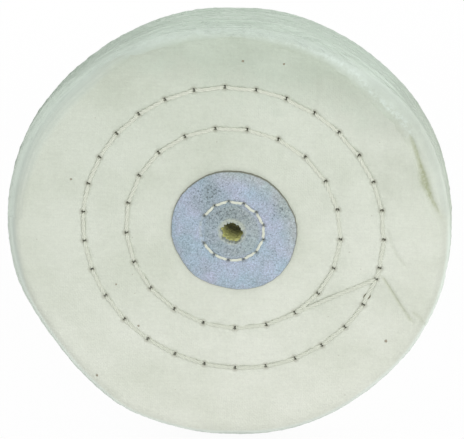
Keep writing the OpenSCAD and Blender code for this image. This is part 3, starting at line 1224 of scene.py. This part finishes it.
class WHEEL_OT_threads(Operator):
    """Sew the two rings of lockstitch, their crossing stitch, and the ring round the bore"""

    bl_idname = "wheel.threads"
    bl_label = "Sewing thread"

    def execute(self, context):
        scene = context.scene
        cloth, leather, thread = scene.wheel_cloth, scene.wheel_leather, scene.wheel_threads
        seams = Seams(scene.wheel_seams, leather)
        half = half_stack(cloth)
        cloth_face = half - (cloth.pitch - cloth.cloth) / MM / 2
        hub_face = half + leather.thickness / MM
        material = sewing_thread(scene.wheel_finishes)
        tree = yarn_group()
        for side, end in SIDES:
            rng = np.random.default_rng(60 + side)
            rings = [stitch_path(a, b, cloth_face, side, 0.1, rng, 0.44)
                     for a, b in seams.ring_stitches]
            rings += [leg_path(h, cloth_face, side)
                      for h in np.concatenate([seams.outer, seams.inner])]
            hub = []
            for a, b in seams.hub_stitches:
                closed_over = side == FRONT and near_closed(a + b, CLOSED_STITCHES)
                hub.append(stitch_path(a, b, hub_face, side, 0.0, rng, 0.46,
                                       sunk=CLOSED_DEPTH if closed_over else 0.0))
            hub += [leg_path(h, hub_face, side) for h in seams.hub]
            for paths, name, face in ((rings, "ring_thread_", cloth_face),
                                      (hub, "leather_thread_", hub_face)):
                # No two stitches are pulled equally tight.
                shares = [1 + 0.11 * np.clip(rng.normal(), -1.4, 1.2) if len(path) != LEG_POINTS
                          else 1.0 for path in paths]
                source = lines_mesh(name + "path", paths, face, shares)
                mesh = run_group(name + end + "_yarn", tree, source, {
                    "Width": thread.width * (HUB_THREAD if paths is hub else 1.0),
                    "Flatness": thread.flat, "Twist": thread.twist, "Step": thread.step,
                    "Strands": thread.strands, "Material": material})
                add_piece(mesh, material, "cotton_thread", name + end)
        return {"FINISHED"}


def near_closed(place, width):
    """True near the left of the ring round the bore, where the stitches have sunk in."""
    return abs(math.degrees(math.atan2(place[1], place[0])) % 360 - CLOSED_WAY) < width


class DiscPattern(Template):
    """The pattern for a leather disc, with its stitch holes and its bore."""

    def __init__(self, holes, leather, bore, width):
        super().__init__()
        radius, rim_points = leather.diameter / MM / 2, 288
        for loop in oval_loops(holes, width, 1.6 * width):
            self.put(loop, opening=True)
        self.bore = self.put(circle(bore, 72) + HUB_MIDDLE, opening=True)
        self.put(circle(radius, rim_points))
        for depth in (0.08, 0.2, 0.4):
            self.put(circle(radius - depth, rim_points, 0.5))
        field = rings(bore + 0.25, radius - 0.6, 0.42)
        field = field[to_nearest(field, holes) > width * 0.8 + 0.14]
        self.put(field[reach(field - HUB_MIDDLE) > bore + 0.2])
        self.finish()


class WHEEL_OT_leather(Operator):
    """Cut the two leather discs, press them down at their stitches and edges"""

    bl_idname = "wheel.leather"
    bl_label = "Leather discs"

    def execute(self, context):
        scene = context.scene
        cloth, leather = scene.wheel_cloth, scene.wheel_leather
        seams = Seams(scene.wheel_seams, leather)
        bore, radius = cloth.bore / MM / 2, leather.diameter / MM / 2
        half = half_stack(cloth)
        thick, edge = leather.thickness / MM, leather.edge / MM
        material = suede(scene.wheel_finishes, leather.seam / MM)
        for side, end in SIDES:
            rng = np.random.default_rng(80 + side)
            # On the front the nap has closed over one hole and the stitches beside it.
            open_holes = seams.hub[[not (side == FRONT and near_closed(h, CLOSED_HOLES))
                                    for h in seams.hub]]
            pattern = DiscPattern(open_holes, leather, bore - BORE_UNDERSIZE, 0.5)
            p = pattern.points
            stitch, hole = to_segments(p, seams.hub_stitches), to_nearest(p, open_holes)
            r, turn = reach(p), direction(p)
            wander = 0.22 * ripple(polar(10.0, turn), 9, 140 + side)
            wander += 0.05 * ripple(polar(10.0, turn), 1.4, 150 + side)
            share_out = smooth_step(r, radius - 4, radius)
            flat = p * (1 + share_out * wander / np.maximum(r, 1))[:, None]
            if side == FRONT:  # this one was sewn on a little to the lower right
                flat += share_out[:, None] * (0.35, -0.2)
            torn = rng.uniform(-0.3, 0.35, len(pattern.bore))
            torn = 0.65 * (torn + np.roll(torn, 1)) - 0.05
            flat[pattern.bore] = HUB_MIDDLE + (flat[pattern.bore] - HUB_MIDDLE) * (
                (bore + torn) / (bore - BORE_UNDERSIZE))[:, None]
            height = edge + (thick - edge) * (1 - np.exp(-(radius - r) / 0.9))
            height -= 0.3 * bell(stitch, 0.5) + 0.25 * bell(hole, 0.6)
            height += leather.lip / MM * bell(r - 3.3, 0.55) - 0.28 * bell(r - bore, 0.45)
            height += 0.05 * ripple(p, 5.0, 160 + side) + 0.035 * ripple(p, 1.1, 170 + side)
            top, under = side * (half + height), np.full(len(p), side * (half - 0.02))
            front, back = (top, under) if side == FRONT else (under, top)
            points, triangles = slab(pattern, flat, front, back)
            # The cut edge's own colour along the rim, which also paints shade there, and painted
            # shade round the holes.
            cut = np.maximum(bell(radius - r, 0.09), 0.5 * bell(hole - 0.3, 0.12))
            mesh = make_mesh("leather_" + end, points, triangles,
                             {"cut": np.tile(cut, 2)}, sharp=60)
            add_piece(mesh, material, "suede_leather", "leather_disc_" + end)
        return {"FINISHED"}


def seen_white(n, shader):
    """1 for what the camera, a reflection or a clear piece sees, which then shows white."""
    path = n.add("ShaderNodeLightPath")
    seen = n.math("MAXIMUM", path["Is Camera Ray"], path["Is Glossy Ray"])
    seen = n.math("MAXIMUM", seen, path["Is Transmission Ray"])
    return seen, n.add(shader, {"Color": (1, 1, 1, 1), "Strength": 1.0})[0]


class WHEEL_OT_stage(Operator):
    """Set the camera, the pale floor, the soft lights and the white surroundings"""

    bl_idname = "wheel.stage"
    bl_label = "Stage"

    def execute(self, context):
        scene, s = context.scene, context.scene.wheel_stage
        radius = outline(np.array([270.0]), scene.wheel_cloth.diameter / MM)[0] * MM
        self.floor(scene, s.floor, -radius - 0.0012)
        self.surroundings(scene, s.sky, s.horizon)
        self.softbox(scene, "front_softbox", (0.19, -0.64, 0.22), 0.4, s.front_light)
        self.softbox(scene, "back_softbox", (-0.19, 0.64, 0.22), 0.4, s.back_light)
        data = bpy.data.cameras.new("camera")
        data.lens, data.sensor_width = s.lens, 36.0
        data.shift_x, data.shift_y = s.shift_x, s.shift_y
        data.clip_start, data.clip_end = 0.05, 20.0
        camera = bpy.data.objects.new("camera", data)
        away = Vector((math.sin(s.azimuth) * math.cos(s.elevation),
                       -math.cos(s.azimuth) * math.cos(s.elevation), math.sin(s.elevation)))
        right = Vector((math.cos(s.azimuth), math.sin(s.azimuth), 0))
        turn = Matrix((right, away.cross(right), away)).transposed().to_4x4()
        camera.matrix_world = Matrix.Translation(away * s.distance) @ turn
        scene.collection.objects.link(camera)
        scene.camera = camera
        scene.view_settings.view_transform = "Standard"
        return {"FINISHED"}

    @staticmethod
    def floor(scene, width, level):
        half = width / 2
        mesh = bpy.data.meshes.new("floor")
        corners = ((-half, -half), (half, -half), (half, half), (-half, half))
        mesh.from_pydata([(x, y, level) for x, y in corners], [], [(0, 1, 2, 3)])

        def build(n):
            seen, white = seen_white(n, "ShaderNodeEmission")
            rough = patchy(n.add("ShaderNodeTexCoord")["Object"], 2.0, 0.3, 0.7, 0.8, 0.95)
            pale = matt(n, (0.82, 0.82, 0.82, 1), rough, 0.1)
            return n.add("ShaderNodeMixShader", {0: seen * 0.95, 1: pale, 2: white})[0]
        mesh.materials.append(new_material("pale_floor", build))
        floor = bpy.data.objects.new("floor", mesh)
        scene.collection.objects.link(floor)

    @staticmethod
    def surroundings(scene, overhead, sides):
        world = bpy.data.worlds.new("studio")
        world.use_nodes = True
        world.node_tree.nodes.clear()
        n = Nodes(world.node_tree)
        seen, white = seen_white(n, "ShaderNodeBackground")
        up = n.split(n.add("ShaderNodeTexCoord")["Generated"])[2]
        soft = n.add("ShaderNodeBackground", {"Color": (1, 1, 1, 1), "Strength": span(
            up, 0.0, 1.0, sides, overhead)})[0]
        both = n.add("ShaderNodeMixShader", {0: seen, 1: soft, 2: white})[0]
        n.add("ShaderNodeOutputWorld", {"Surface": both})
        scene.world = world

    @staticmethod
    def softbox(scene, name, place, size, power):
        data = bpy.data.lights.new(name, "AREA")
        data.energy, data.shape, data.size = power, "DISK", size
        lamp = bpy.data.objects.new(name, data)
        lamp.location = place
        lamp.rotation_euler = Vector(place).to_track_quat("Z", "Y").to_euler()
        scene.collection.objects.link(lamp)


# ------------------------------------------------------------------ panel and start

SETTINGS = (
    ("wheel_cloth", ClothSizes), ("wheel_seams", SeamSizes), ("wheel_threads", ThreadSizes),
    ("wheel_leather", LeatherSizes), ("wheel_nap", NapSizes), ("wheel_finishes", Finishes),
    ("wheel_stage", StageSettings),
)
MAKERS = (WHEEL_OT_plies, WHEEL_OT_nap, WHEEL_OT_leather, WHEEL_OT_threads, WHEEL_OT_stage)


class WHEEL_PT_panel(Panel):
    bl_label = "Polishing Wheel"
    bl_idname = "WHEEL_PT_panel"
    bl_space_type = "VIEW_3D"
    bl_region_type = "UI"
    bl_category = "Polishing Wheel"

    def draw(self, context):
        for maker in MAKERS:
            self.layout.operator(maker.bl_idname)
        for name, group in SETTINGS:
            box = self.layout.box()
            box.label(text=group.__name__)
            for key in group.__annotations__:
                box.prop(getattr(context.scene, name), key)


def register():
    for name, group in SETTINGS:
        bpy.utils.register_class(group)
        setattr(bpy.types.Scene, name, PointerProperty(type=group))
    for operator in MAKERS:
        bpy.utils.register_class(operator)
    bpy.utils.register_class(WHEEL_PT_panel)


def unregister():
    bpy.utils.unregister_class(WHEEL_PT_panel)
    for operator in reversed(MAKERS):
        bpy.utils.unregister_class(operator)
    for name, group in reversed(SETTINGS):
        delattr(bpy.types.Scene, name)
        bpy.utils.unregister_class(group)


def main():
    register()
    bpy.ops.wheel.stage()
    bpy.ops.wheel.plies()
    bpy.ops.wheel.nap()
    bpy.ops.wheel.leather()
    bpy.ops.wheel.threads()


if __name__ == "__main__":
    main()
